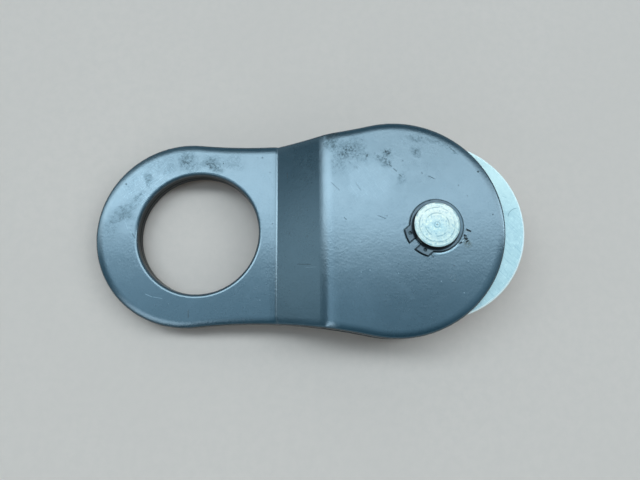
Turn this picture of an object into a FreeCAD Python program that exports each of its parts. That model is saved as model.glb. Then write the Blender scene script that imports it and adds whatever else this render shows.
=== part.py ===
import FreeCAD, Part
import Sketcher
import math
import os

os.makedirs("parts", exist_ok=True)

V = FreeCAD.Vector
doc = FreeCAD.newDocument("snatch_block")

# ---------------------------------------------------------------------------
# Driving dimensions, millimetres and degrees.
# The origin is the centre of the shackle eye, midway between the two plates.
# +X runs from the eye to the sheave pin, +Z along the pin.
# ---------------------------------------------------------------------------
DIMENSIONS = [
    ("pin_distance", 134.2, "shackle eye centre to sheave pin centre"),
    ("plate_thick", 5.0, "side plate, pressed steel"),
    ("eye_inner", 0.05, "inner face of the flat eye end above the mid-plane"),
    ("lobe_inner", 13.0, "inner face of the joggled lobe above the mid-plane"),
    ("eye_centre", 5.3, "eye end outline circle, centre behind the hole centre"),
    ("eye_outline", 54.0, "eye end outline radius"),
    ("lobe_centre", 111.8, "lobe outline circle centre"),
    ("lobe_outline", 60.7, "lobe outline radius"),
    ("waist_radius", 313.0, "concave waist radius between the two circles"),
    ("eye_hole", 35.0, "shackle hole radius"),
    ("eye_rim_outer", 1.3, "rounding of the hole's outer rim"),
    ("eye_rim_inner", 0.4, "bevel of the hole's inner rim"),
    ("pin_bore", 12.55, "plate bore radius on the pin"),
    ("bore_bevel", 0.4, "bevel on the outer rim of the pin bore"),
    ("plate_edge", 1.2, "rounding of the outline on the outer face"),
    ("plate_edge_inner", 0.7, "rounding of the outline on the inner face"),
    ("crease_start", 43.0, "where the eye flat begins to turn down"),
    ("crease_mid", 44.9, "where it turns down sharply to the press line"),
    ("crease_mid_drop", 0.35, "depth of that turn below the eye face"),
    ("crease_foot", 45.8, "press line, foot of the ramp"),
    ("crease_drop", 0.85, "depth of the press line below the eye face"),
    ("crease_round", 14.0, "rounding at the first turn"),
    ("crease_mid_round", 3.0, "rounding at the second turn"),
    ("bend_top", 75.3, "outer corner of the bend on to the lobe"),
    ("bend_round", 25.0, "outer bend radius"),
    ("bend_top_inner", 76.4, "inner corner of the bend on to the lobe"),
    ("bend_round_inner", 20.0, "inner bend radius at the lobe"),
    ("crease_inner", 48.7, "inner corner of the bend at the eye flat"),
    ("crease_round_inner", 6.0, "inner bend radius at the eye flat"),
    ("sheave_outline", 50.6, "sheave rim radius"),
    ("sheave_half", 12.2, "half the sheave width"),
    ("groove_root", 38.0, "radius at the bottom of the rope groove"),
    ("groove_form", 6.5, "rope groove form radius, for rope up to 12 mm"),
    ("groove_flank", 20.0, "flank angle each side"),
    ("groove_mouth", 51.6, "radius where the groove cut ends, past the rim"),
    ("sheave_edge", 0.9, "bevel of the outer rim corners"),
    ("groove_lip", 1.2, "rounding of the groove mouth"),
    ("bush_outer", 16.0, "bushing outer radius, pressed in the sheave"),
    ("bush_inner", 12.55, "bushing inner radius"),
    ("bush_bevel", 0.6, "bevel on the bushing's outer corners"),
    ("bush_channel", 13.4, "radius of the grease channel in the bushing"),
    ("bush_channel_half", 1.5, "half the channel width"),
    ("washer_thick", 0.7, "thrust washer thickness"),
    ("washer_outer", 24.0, "thrust washer outer radius"),
    ("washer_inner", 12.6, "thrust washer inner radius"),
    ("washer_level", 12.25, "lower face of the upper thrust washer"),
    ("pin_radius", 12.5, "axle pin radius"),
    ("pin_end", 22.3, "pin end above the mid-plane"),
    ("pin_bevel", 0.2, "bevel of the pin ends"),
    ("ring_seat", 18.05, "near wall of the retaining ring groove"),
    ("ring_groove_wide", 1.3, "width of the retaining ring groove"),
    ("ring_groove_root", 11.95, "root radius of the retaining ring groove"),
    ("ring_thick", 1.2, "retaining ring thickness"),
    ("ring_body", 14.6, "radius of the ring's outer edge"),
    ("ring_offset", 0.45, "eccentricity of the ring's outer edge"),
    ("ring_lug", 17.3, "outer radius of the plier lugs"),
    ("ring_lug_corner_y", 9.5, "far corner of a lug, off the gap's middle line"),
    ("ring_lug_root_x", 10.5, "where a lug's slope meets the ring, along the gap line"),
    ("ring_lug_root_y", 9.6, "the same point, off the gap line"),
    ("ring_lug_round", 0.5, "rounding of a lug's far corner"),
    ("ring_gap_half", 2.35, "half the gap width"),
    ("ring_hole_x", 13.5, "plier hole, along the gap line"),
    ("ring_hole_y", 6.05, "plier hole, off the gap line"),
    ("ring_hole", 1.1, "plier hole radius"),
    ("ring_turn", 219.6, "direction of the upper ring's gap"),
    ("ring_turn_lower", 35.0, "direction of the lower ring's gap"),
    ("centre_mark", 0.45, "radius of the lathe centre mark in the pin"),
    ("centre_mark_deep", 0.3, "depth of the centre mark"),
    ("recess_radius", 7.5, "recess for the grease nipple in the lower pin end"),
    ("recess_deep", 8.5, "depth of that recess"),
    ("nipple_tapping", 3.0, "nipple thread radius"),
    ("nipple_tapping_deep", 6.5, "depth of the tapped hole under the recess"),
    ("grease_way", 1.5, "radius of the grease drillings"),
    ("nipple_shank_long", 5.5, "nipple thread length"),
    ("nipple_hex", 7.0, "nipple hexagon across the flats"),
    ("nipple_hex_high", 2.5, "hexagon height"),
    ("nipple_high", 7.5, "nipple height above its seat"),
    ("nipple_head", 3.25, "nipple head radius"),
    ("nipple_neck", 2.35, "nipple neck radius"),
    ("nipple_cavity", 1.6, "radius of the valve cavity"),
    ("nipple_mouth", 0.95, "radius of the filling hole"),
    ("ball_radius", 1.5, "check ball radius"),
    ("spring_coil", 1.15, "spring mean coil radius"),
    ("spring_wire", 0.18, "spring wire radius"),
    ("spring_pitch", 0.85, "spring pitch"),
    ("spring_high", 3.6, "spring height between wire centres"),
]

sheet = doc.addObject("Spreadsheet::Sheet", "Dimensions")
sheet.set("A1", "name")
sheet.set("B1", "value")
sheet.set("C1", "meaning")
D = {}
for number, (name, value, meaning) in enumerate(DIMENSIONS, 2):
    sheet.set("A%d" % number, name)
    sheet.set("B%d" % number, repr(float(value)))
    sheet.set("C%d" % number, meaning)
    sheet.setAlias("B%d" % number, name)
    D[name] = float(value)
doc.recompute()


def bound(formula):
    """A formula of sheet names, written with @ before each name."""
    return formula.replace("@", "Dimensions.")


def value_of(formula):
    """The same formula worked out from the sheet's numbers."""
    total = 0.0
    sign = 1.0
    for word in formula.split():
        if word == "+":
            sign = 1.0
        elif word == "-":
            sign = -1.0
        else:
            term = 1.0
            for factor in word.split("*"):
                term *= D[factor[1:]] if factor[0] == "@" else float(factor)
            total += sign * term
            sign = 1.0
    return total


def plane(body, role):
    return [f for f in body.Origin.OriginFeatures if f.Role == role][0]


def new_body(label):
    body = doc.addObject("PartDesign::Body", label)
    body.Label = label
    return body


def new_sketch(body, name, role):
    sk = body.newObject("Sketcher::SketchObject", name)
    sk.AttachmentSupport = [(plane(body, role), "")]
    sk.MapMode = "FlatFace"
    return sk


def datum(sk, kind, args, formula, label):
    """A dimension bound to the sheet."""
    index = sk.addConstraint(Sketcher.Constraint(kind, *args, value_of(formula)))
    sk.renameConstraint(index, label)
    sk.setExpression("Constraints." + label, bound(formula))
    return index


def place_point(sk, geo, pos, fx, fy, label):
    """Fix a sketch point at (fx, fy), each a formula or 0."""
    for axis, kind, formula in (("x", "DistanceX", fx), ("y", "DistanceY", fy)):
        if formula == 0:
            line = -2 if axis == "x" else -1
            sk.addConstraint(Sketcher.Constraint("PointOnObject", geo, pos, line))
        elif formula.startswith("neg "):
            datum(sk, kind, (geo, pos, -1, 1), formula[4:], label + axis)
        else:
            datum(sk, kind, (-1, 1, geo, pos), formula, label + axis)


def number(formula):
    if formula == 0:
        return 0.0
    if formula.startswith("neg "):
        return -value_of(formula[4:])
    return value_of(formula)


def polygon(sk, corners, tag="p"):
    """A closed polygon whose corners are all placed from the sheet."""
    pts = [V(number(a), number(b), 0) for a, b in corners]
    first = sk.GeometryCount
    total = len(pts)
    for k in range(total):
        sk.addGeometry(Part.LineSegment(pts[k], pts[(k + 1) % total]), False)
    for k in range(total):
        sk.addConstraint(Sketcher.Constraint("Coincident", first + k, 2, first + (k + 1) % total, 1))
    for k, (a, b) in enumerate(corners):
        place_point(sk, first + k, 1, a, b, "%s%d" % (tag, k))


def circle(sk, fx, fy, fr, tag="c"):
    geo = sk.addGeometry(Part.Circle(V(number(fx), number(fy), 0), V(0, 0, 1), value_of(fr)), False)
    place_point(sk, geo, 3, fx, fy, tag)
    datum(sk, "Radius", (geo,), fr, tag + "r")
    return geo


def pad(body, sk, formula, name, symmetric=False, reverse=False):
    feature = body.newObject("PartDesign::Pad", name)
    feature.Profile = sk
    feature.Length = value_of(formula)
    feature.setExpression("Length", bound(formula))
    if symmetric:
        feature.SideType = "Symmetric"
    feature.Reversed = reverse
    doc.recompute()
    return feature


def pocket(body, sk, formula, name, symmetric=False, reverse=False):
    """A cut; formula None goes through everything, both ways when symmetric."""
    feature = body.newObject("PartDesign::Pocket", name)
    feature.Profile = sk
    if formula is None:
        feature.Type = "ThroughAll"
    else:
        feature.Length = value_of(formula)
        feature.setExpression("Length", bound(formula))
    if symmetric:
        feature.SideType = "Symmetric"
    feature.Reversed = reverse
    doc.recompute()
    return feature


def revolve(body, sk, name, cut=False):
    feature = body.newObject("PartDesign::Groove" if cut else "PartDesign::Revolution", name)
    feature.Profile = sk
    feature.ReferenceAxis = (sk, ["V_Axis"])
    feature.Angle = 360.0
    doc.recompute()
    return feature


def face_normal(face):
    u0, u1, v0, v1 = face.ParameterRange
    return face.normalAt((u0 + u1) / 2.0, (v0 + v1) / 2.0)


def edges_where(shape, test):
    """Names of the edges whose two faces pass the test."""
    names = []
    faces = shape.Faces
    owned = [face.Edges for face in faces]
    for index, edge in enumerate(shape.Edges, 1):
        sides = [faces[k] for k, edges in enumerate(owned) if any(edge.isSame(e) for e in edges)]
        if len(sides) == 2 and (test(edge, sides[0], sides[1]) or test(edge, sides[1], sides[0])):
            names.append("Edge%d" % index)
    return names


def dress(body, kind, names, formula, name):
    base = body.Tip
    if not names:
        raise RuntimeError("%s: no edges" % name)
    feature = body.newObject("PartDesign::" + kind, name)
    feature.Base = (base, names)
    prop = "Radius" if kind == "Fillet" else "Size"
    setattr(feature, prop, value_of(formula))
    feature.setExpression(prop, bound(formula))
    doc.recompute()
    return feature


def is_wall(face, radii):
    """A cylinder standing along Z with one of the radii."""
    surface = face.Surface
    if not isinstance(surface, Part.Cylinder) or abs(abs(surface.Axis.z) - 1) > 1e-6:
        return False
    return any(abs(surface.Radius - r) < 1e-4 for r in radii)


# ---------------------------------------------------------------------------
# Side plates: one pressing, used twice.  A section of flat, press line, ramp,
# bend and lobe is padded across and then trimmed to the pear-shaped outline.
# ---------------------------------------------------------------------------
def side_plate(label):
    body = new_body(label)
    top = "@eye_inner + @plate_thick"
    lobe_top = "@lobe_inner + @plate_thick"
    sk = new_sketch(body, label + "_section", "XZ_Plane")
    polygon(sk, [
        ("neg 70", "@eye_inner"),
        ("neg 70", top),
        ("@crease_start", top),
        ("@crease_mid", top + " - @crease_mid_drop"),
        ("@crease_foot", top + " - @crease_drop"),
        ("@bend_top", lobe_top),
        ("180", lobe_top),
        ("180", "@lobe_inner"),
        ("@bend_top_inner", "@lobe_inner"),
        ("@crease_inner", "@eye_inner"),
    ])
    blank = pad(body, sk, "150", label + "_blank", symmetric=True)

    def along_y_at(fx, fz):
        px, pz = value_of(fx), value_of(fz)

        def test(edge, a, b):
            p = edge.valueAt(edge.FirstParameter)
            q = edge.valueAt(edge.LastParameter)
            return (abs(p.x - px) < 1e-3 and abs(q.x - px) < 1e-3
                    and abs(p.z - pz) < 1e-3 and abs(q.z - pz) < 1e-3)
        return test

    for fx, fz, radius, word in (
        ("@crease_start", top, "@crease_round", "first_turn"),
        ("@crease_mid", top + " - @crease_mid_drop", "@crease_mid_round", "second_turn"),
        ("@bend_top", lobe_top, "@bend_round", "outer_bend"),
        ("@bend_top_inner", "@lobe_inner", "@bend_round_inner", "inner_bend"),
        ("@crease_inner", "@eye_inner", "@crease_round_inner", "inner_foot"),
    ):
        names = edges_where(body.Tip.Shape, along_y_at(fx, fz))
        dress(body, "Fillet", names, radius, label + "_" + word)

    # pear-shaped outline: eye circle, lobe circle and two concave waist arcs
    re, rl, rc = D["eye_outline"], D["lobe_outline"], D["waist_radius"]
    xe, xl = -D["eye_centre"], D["lobe_centre"]
    xc = (xl * xl - xe * xe + (re + rc) ** 2 - (rl + rc) ** 2) / (2 * (xl - xe))
    yc = math.sqrt((re + rc) ** 2 - (xc - xe) ** 2)
    at_eye = math.atan2(yc, xc - xe)
    at_lobe = math.atan2(yc, xc - xl)
    sk = new_sketch(body, label + "_outline", "XY_Plane")
    up = V(0, 0, 1)
    left = sk.addGeometry(Part.ArcOfCircle(Part.Circle(V(xe, 0, 0), up, re), at_eye, 2 * math.pi - at_eye), False)
    high = sk.addGeometry(Part.ArcOfCircle(Part.Circle(V(xc, yc, 0), up, rc), math.pi + at_eye, math.pi + at_lobe), False)
    right = sk.addGeometry(Part.ArcOfCircle(Part.Circle(V(xl, 0, 0), up, rl), -at_lobe, at_lobe), False)
    low = sk.addGeometry(Part.ArcOfCircle(Part.Circle(V(xc, -yc, 0), up, rc), math.pi - at_lobe, math.pi - at_eye), False)
    for a, pa, b, pb in ((left, 1, high, 1), (high, 2, right, 2), (right, 1, low, 1), (low, 2, left, 2)):
        sk.addConstraint(Sketcher.Constraint("Tangent", a, pa, b, pb))
    place_point(sk, left, 3, "neg @eye_centre", 0, "eye")
    place_point(sk, right, 3, "@lobe_centre", 0, "lobe")
    datum(sk, "Radius", (left,), "@eye_outline", "eye_r")
    datum(sk, "Radius", (right,), "@lobe_outline", "lobe_r")
    datum(sk, "Radius", (high,), "@waist_radius", "waist_high_r")
    datum(sk, "Radius", (low,), "@waist_radius", "waist_low_r")
    polygon(sk, [("neg 90", "neg 95"), ("200", "neg 95"), ("200", "95"), ("neg 90", "95")], "frame")
    pocket(body, sk, None, label + "_trim", symmetric=True)

    sk = new_sketch(body, label + "_holes", "XY_Plane")
    circle(sk, 0, 0, "@eye_hole", "shackle")
    circle(sk, "@pin_distance", 0, "@pin_bore", "bore")
    pocket(body, sk, None, label + "_bores", symmetric=True)

    outline = (re, rl, rc)

    def outer_edge(edge, a, b):
        return is_wall(a, outline) and not is_wall(b, outline) and face_normal(b).z > 0.3

    def inner_edge(edge, a, b):
        return is_wall(a, outline) and not is_wall(b, outline) and face_normal(b).z < -0.3

    dress(body, "Fillet", edges_where(body.Tip.Shape, outer_edge), "@plate_edge", label + "_edge_outer")
    dress(body, "Fillet", edges_where(body.Tip.Shape, inner_edge), "@plate_edge_inner", label + "_edge_inner")

    def rim(radius, upward):
        def test(edge, a, b):
            return is_wall(a, (radius,)) and not is_wall(b, (radius,)) and face_normal(b).z * upward > 0.3
        return test

    dress(body, "Fillet", edges_where(body.Tip.Shape, rim(D["eye_hole"], 1)), "@eye_rim_outer", label + "_rim_outer")
    dress(body, "Chamfer", edges_where(body.Tip.Shape, rim(D["eye_hole"], -1)), "@eye_rim_inner", label + "_rim_inner")
    dress(body, "Chamfer", edges_where(body.Tip.Shape, rim(D["pin_bore"], 1)), "@bore_bevel", label + "_bore_bevel")
    return body


upper_plate = side_plate("upper_side_plate")
lower_plate = side_plate("lower_side_plate")
lower_plate.Placement = FreeCAD.Placement(V(0, 0, 0), FreeCAD.Rotation(V(1, 0, 0), 180))


# ---------------------------------------------------------------------------
# Sheave: turned disc with a rope groove, bored for the bushing
# ---------------------------------------------------------------------------
sheave = new_body("sheave")
sk = new_sketch(sheave, "sheave_section", "XZ_Plane")
polygon(sk, [
    ("@bush_outer", "neg @sheave_half"),
    ("@sheave_outline", "neg @sheave_half"),
    ("@sheave_outline", "@sheave_half"),
    ("@bush_outer", "@sheave_half"),
])
revolve(sheave, sk, "sheave_disc")

sk = new_sketch(sheave, "groove_section", "XZ_Plane")
flank = math.radians(D["groove_flank"])
form = D["groove_form"]
root_centre = D["groove_root"] + form
tx = root_centre - form * math.sin(flank)
ty = form * math.cos(flank)
mx = D["groove_mouth"]
my = ty + (mx - tx) * math.tan(flank)
root = sk.addGeometry(Part.ArcOfCircle(Part.Circle(V(root_centre, 0, 0), V(0, 0, 1), form),
                                       math.pi / 2 + flank, 3 * math.pi / 2 - flank), False)
flank_low = sk.addGeometry(Part.LineSegment(V(tx, -ty, 0), V(mx, -my, 0)), False)
mouth = sk.addGeometry(Part.LineSegment(V(mx, -my, 0), V(mx, my, 0)), False)
flank_high = sk.addGeometry(Part.LineSegment(V(mx, my, 0), V(tx, ty, 0)), False)
sk.addConstraint(Sketcher.Constraint("Tangent", root, 2, flank_low, 1))
sk.addConstraint(Sketcher.Constraint("Coincident", flank_low, 2, mouth, 1))
sk.addConstraint(Sketcher.Constraint("Coincident", mouth, 2, flank_high, 1))
sk.addConstraint(Sketcher.Constraint("Tangent", flank_high, 2, root, 1))
sk.addConstraint(Sketcher.Constraint("Symmetric", mouth, 1, mouth, 2, -1))
place_point(sk, root, 3, "@groove_root + @groove_form", 0, "root")
datum(sk, "Radius", (root,), "@groove_form", "form_r")
datum(sk, "DistanceX", (-1, 1, mouth, 1), "@groove_mouth", "mouth_x")
index = sk.addConstraint(Sketcher.Constraint("Angle", flank_low, -flank))
sk.renameConstraint(index, "flank_angle")
sk.setExpression("Constraints.flank_angle", "-Dimensions.groove_flank * 1 deg")
doc.recompute()
revolve(sheave, sk, "rope_groove", cut=True)


def sheave_corner(edge, a, b):
    curve = edge.Curve
    if not isinstance(curve, Part.Circle) or abs(curve.Radius - D["sheave_outline"]) > 1e-4:
        return False
    return abs(abs(curve.Center.z) - D["sheave_half"]) < 1e-3


def groove_lip(edge, a, b):
    curve = edge.Curve
    if not isinstance(curve, Part.Circle) or abs(curve.Radius - D["sheave_outline"]) > 1e-4:
        return False
    return abs(curve.Center.z) < D["sheave_half"] - 1


dress(sheave, "Chamfer", edges_where(sheave.Tip.Shape, sheave_corner), "@sheave_edge", "sheave_corners")
dress(sheave, "Fillet", edges_where(sheave.Tip.Shape, groove_lip), "@groove_lip", "groove_lips")


def on_pin_axis(body, level=None):
    """Stands a body on the pin axis, at a height from the sheet."""
    body.Placement = FreeCAD.Placement(V(D["pin_distance"], 0, value_of(level) if level else 0), body.Placement.Rotation)
    body.setExpression("Placement.Base.x", bound("@pin_distance"))
    if level:
        body.setExpression("Placement.Base.z", bound(level))


on_pin_axis(sheave)

# ---------------------------------------------------------------------------
# Bronze bushing with a grease channel round its bore
# ---------------------------------------------------------------------------
bushing = new_body("sheave_bushing")
sk = new_sketch(bushing, "bushing_section", "XZ_Plane")
polygon(sk, [
    ("@bush_inner", "neg @sheave_half"),
    ("@bush_outer - @bush_bevel", "neg @sheave_half"),
    ("@bush_outer", "neg @sheave_half - @bush_bevel"),
    ("@bush_outer", "@sheave_half - @bush_bevel"),
    ("@bush_outer - @bush_bevel", "@sheave_half"),
    ("@bush_inner", "@sheave_half"),
])
revolve(bushing, sk, "bushing_tube")
sk = new_sketch(bushing, "channel_section", "XZ_Plane")
polygon(sk, [
    ("@bush_inner - 1", "neg @bush_channel_half"),
    ("@bush_channel", "neg @bush_channel_half"),
    ("@bush_channel", "@bush_channel_half"),
    ("@bush_inner - 1", "@bush_channel_half"),
])
revolve(bushing, sk, "grease_channel", cut=True)
on_pin_axis(bushing)


# ---------------------------------------------------------------------------
# Thrust washers between the sheave faces and the plates
# ---------------------------------------------------------------------------
def thrust_washer(label):
    body = new_body(label)
    sk = new_sketch(body, label + "_plan", "XY_Plane")
    circle(sk, 0, 0, "@washer_outer", "outer")
    circle(sk, 0, 0, "@washer_inner", "inner")
    pad(body, sk, "@washer_thick", label + "_disc")
    return body


upper_washer = thrust_washer("upper_thrust_washer")
on_pin_axis(upper_washer, "@washer_level")
lower_washer = thrust_washer("lower_thrust_washer")
lower_washer.Placement = FreeCAD.Placement(V(0, 0, 0), FreeCAD.Rotation(V(1, 0, 0), 180))
on_pin_axis(lower_washer, "0 - @washer_level")

# ---------------------------------------------------------------------------
# Axle pin: turned bar, a ring groove near each end, grease drillings
# ---------------------------------------------------------------------------
axle = new_body("axle_pin")
sk = new_sketch(axle, "pin_section", "XZ_Plane")
polygon(sk, [
    (0, "neg @pin_end"),
    ("@pin_radius", "neg @pin_end"),
    ("@pin_radius", "@pin_end"),
    (0, "@pin_end"),
])
revolve(axle, sk, "pin_bar")
sk = new_sketch(axle, "ring_groove_sections", "XZ_Plane")
polygon(sk, [
    ("@ring_groove_root", "@ring_seat"),
    ("@pin_radius + 1", "@ring_seat"),
    ("@pin_radius + 1", "@ring_seat + @ring_groove_wide"),
    ("@ring_groove_root", "@ring_seat + @ring_groove_wide"),
], "high")
polygon(sk, [
    ("@ring_groove_root", "neg @ring_seat"),
    ("@pin_radius + 1", "neg @ring_seat"),
    ("@pin_radius + 1", "neg @ring_seat + @ring_groove_wide"),
    ("@ring_groove_root", "neg @ring_seat + @ring_groove_wide"),
], "low")
revolve(axle, sk, "ring_grooves", cut=True)
sk = new_sketch(axle, "centre_mark_section", "XZ_Plane")
polygon(sk, [
    (0, "@pin_end - @centre_mark_deep"),
    ("@centre_mark", "@pin_end"),
    (0, "@pin_end"),
], "mark")
revolve(axle, sk, "centre_mark", cut=True)
# stepped drilling in the lower end: recess, tapped hole, grease way
sk = new_sketch(axle, "nipple_recess_section", "XZ_Plane")
polygon(sk, [
    (0, "neg @pin_end + 1"),
    ("@recess_radius", "neg @pin_end + 1"),
    ("@recess_radius", "neg @pin_end - @recess_deep"),
    ("@nipple_tapping", "neg @pin_end - @recess_deep"),
    ("@nipple_tapping", "neg @pin_end - @recess_deep - @nipple_tapping_deep"),
    ("@grease_way", "neg @pin_end - @recess_deep - @nipple_tapping_deep"),
    ("@grease_way", 0),
    (0, 0),
], "drill")
revolve(axle, sk, "nipple_recess", cut=True)
sk = new_sketch(axle, "cross_way_plan", "XZ_Plane")
circle(sk, 0, 0, "@grease_way", "cross")
pocket(axle, sk, None, "cross_way", symmetric=True)


def pin_corner(edge, a, b):
    curve = edge.Curve
    if not isinstance(curve, Part.Circle) or abs(curve.Radius - D["pin_radius"]) > 1e-4:
        return False
    return abs(abs(curve.Center.z) - D["pin_end"]) < 1e-3


dress(axle, "Chamfer", edges_where(axle.Tip.Shape, pin_corner), "@pin_bevel", "pin_bevels")
on_pin_axis(axle)


# ---------------------------------------------------------------------------
# Retaining rings: flat spring steel, lugs each side of the gap.
# The gap is drawn along +X and turned by the placement.
# ---------------------------------------------------------------------------
def retaining_ring(label):
    body = new_body(label)
    sk = new_sketch(body, label + "_edge", "XY_Plane")
    circle(sk, "neg @ring_offset", 0, "@ring_body", "body")
    pad(body, sk, "@ring_thick", label + "_disc")

    # two lugs: an arc about the axis, sloping back to the ring at the far end
    sk = new_sketch(body, label + "_lugs", "XY_Plane")
    outer = D["ring_lug"]
    near, far = 1.2, D["ring_lug_corner_y"]
    a_near, a_far = math.asin(near / outer), math.asin(far / outer)
    up = V(0, 0, 1)
    for sign, tag, minus in ((1, "left", ""), (-1, "right", "neg ")):
        if sign > 0:
            arc = sk.addGeometry(Part.ArcOfCircle(Part.Circle(V(0, 0, 0), up, outer), a_near, a_far), False)
            end_far, end_near = 2, 1
        else:
            arc = sk.addGeometry(Part.ArcOfCircle(Part.Circle(V(0, 0, 0), up, outer), -a_far, -a_near), False)
            end_far, end_near = 1, 2
        b = V(outer * math.cos(a_far), sign * far, 0)
        c = V(D["ring_lug_root_x"], sign * D["ring_lug_root_y"], 0)
        e = V(8.0, sign * 7.5, 0)
        f = V(11.0, sign * near, 0)
        n = V(outer * math.cos(a_near), sign * near, 0)
        slope = sk.addGeometry(Part.LineSegment(b, c), False)
        inner = sk.addGeometry(Part.LineSegment(c, e), False)
        base = sk.addGeometry(Part.LineSegment(e, f), False)
        close = sk.addGeometry(Part.LineSegment(f, n), False)
        sk.addConstraint(Sketcher.Constraint("Coincident", arc, end_far, slope, 1))
        sk.addConstraint(Sketcher.Constraint("Coincident", slope, 2, inner, 1))
        sk.addConstraint(Sketcher.Constraint("Coincident", inner, 2, base, 1))
        sk.addConstraint(Sketcher.Constraint("Coincident", base, 2, close, 1))
        sk.addConstraint(Sketcher.Constraint("Coincident", close, 2, arc, end_near))
        sk.addConstraint(Sketcher.Constraint("Coincident", arc, 3, -1, 1))
        datum(sk, "Radius", (arc,), "@ring_lug", tag + "_r")
        if sign > 0:
            datum(sk, "DistanceY", (-1, 1, arc, end_far), "@ring_lug_corner_y", tag + "_corner")
        else:
            datum(sk, "DistanceY", (arc, end_far, -1, 1), "@ring_lug_corner_y", tag + "_corner")
        place_point(sk, inner, 1, "@ring_lug_root_x", minus + "@ring_lug_root_y", tag + "_root")
        place_point(sk, base, 1, "8.0", minus + "7.5", tag + "_inner")
        place_point(sk, close, 1, "11.0", minus + "1.2", tag + "_foot")
        sk.addConstraint(Sketcher.Constraint("Horizontal", close))
    pad(body, sk, "@ring_thick", label + "_lug_plate")

    def lug_corner(edge, a, b):
        if abs(edge.tangentAt(edge.FirstParameter).z) < 0.99:
            return False
        p = edge.valueAt(edge.FirstParameter)
        return abs(math.hypot(p.x, p.y) - D["ring_lug"]) < 1e-3 and abs(abs(p.y) - D["ring_lug_corner_y"]) < 0.01

    dress(body, "Fillet", edges_where(body.Tip.Shape, lug_corner), "@ring_lug_round", label + "_lug_round")

    # bore, gap and plier holes
    sk = new_sketch(body, label + "_bore", "XY_Plane")
    circle(sk, 0, 0, "@ring_groove_root", "bore")
    pocket(body, sk, None, label + "_bore_cut", symmetric=True)
    sk = new_sketch(body, label + "_gap", "XY_Plane")
    polygon(sk, [
        ("9", "neg @ring_gap_half"),
        ("20", "neg @ring_gap_half"),
        ("20", "@ring_gap_half"),
        ("9", "@ring_gap_half"),
    ], "gap")
    pocket(body, sk, None, label + "_gap_cut", symmetric=True)
    sk = new_sketch(body, label + "_plier_holes", "XY_Plane")
    circle(sk, "@ring_hole_x", "@ring_hole_y", "@ring_hole", "hole_a")
    circle(sk, "@ring_hole_x", "neg @ring_hole_y", "@ring_hole", "hole_b")
    pocket(body, sk, None, label + "_plier_cut", symmetric=True)
    return body


upper_ring = retaining_ring("upper_retaining_ring")
upper_ring.Placement = FreeCAD.Placement(V(0, 0, 0), FreeCAD.Rotation(V(0, 0, 1), D["ring_turn"]))
on_pin_axis(upper_ring, "@ring_seat")
lower_ring = retaining_ring("lower_retaining_ring")
lower_ring.Placement = FreeCAD.Placement(V(0, 0, 0), FreeCAD.Rotation(V(0, 0, 1), D["ring_turn_lower"])
                                         .multiply(FreeCAD.Rotation(V(1, 0, 0), 180)))
on_pin_axis(lower_ring, "0 - @ring_seat")

# ---------------------------------------------------------------------------
# Grease nipple in the lower pin end.  Drawn head up from its seat at z = 0,
# then turned over into the recess.
# ---------------------------------------------------------------------------
SEAT = "0 - @pin_end + @recess_deep"

nipple = new_body("grease_nipple_body")
sk = new_sketch(nipple, "nipple_section", "XZ_Plane")
polygon(sk, [
    ("@grease_way - 0.4", "neg @nipple_shank_long"),
    ("@nipple_tapping - 0.5", "neg @nipple_shank_long"),
    ("@nipple_tapping", "neg @nipple_shank_long - 0.5"),
    ("@nipple_tapping", "@nipple_hex_high - 1"),
    ("@nipple_tapping", "@nipple_hex_high + 0.4"),
    ("@nipple_neck", "@nipple_hex_high + 1.2"),
    ("@nipple_neck", "@nipple_high - 2.6"),
    ("@nipple_head", "@nipple_high - 1.7"),
    ("@nipple_head", "@nipple_high - 1.1"),
    ("@nipple_head - 1.3", "@nipple_high"),
    ("@nipple_mouth", "@nipple_high"),
    ("@nipple_mouth", "@nipple_high - 0.3"),
    ("@nipple_cavity", "@nipple_high - 1.4"),
    ("@nipple_cavity", "0.5"),
    ("@grease_way - 0.4", "0.5"),
], "n")
revolve(nipple, sk, "nipple_turned")
sk = new_sketch(nipple, "nipple_hexagon", "XY_Plane")
flats = D["nipple_hex"] / 2
corner = flats / math.cos(math.radians(30))
six = [V(corner * math.cos(math.radians(60 * k)), corner * math.sin(math.radians(60 * k)), 0) for k in range(6)]
for k in range(6):
    sk.addGeometry(Part.LineSegment(six[k], six[(k + 1) % 6]), False)
for k in range(6):
    sk.addConstraint(Sketcher.Constraint("Coincident", k, 2, (k + 1) % 6, 1))
ring_geo = sk.addGeometry(Part.Circle(V(0, 0, 0), V(0, 0, 1), flats), True)
sk.addConstraint(Sketcher.Constraint("Coincident", ring_geo, 3, -1, 1))
datum(sk, "Radius", (ring_geo,), "0.5*@nipple_hex", "flats")
for k in range(6):
    sk.addConstraint(Sketcher.Constraint("Tangent", k, ring_geo))
for k in range(1, 6):
    sk.addConstraint(Sketcher.Constraint("Equal", 0, k)) if k < 5 else None
sk.addConstraint(Sketcher.Constraint("PointOnObject", 0, 1, -1))
circle(sk, 0, 0, "@nipple_tapping - 0.3", "inside")
pad(nipple, sk, "@nipple_hex_high", "nipple_spanner_flats")
nipple.Placement = FreeCAD.Placement(V(0, 0, 0), FreeCAD.Rotation(V(1, 0, 0), 180))
on_pin_axis(nipple, SEAT)

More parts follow.
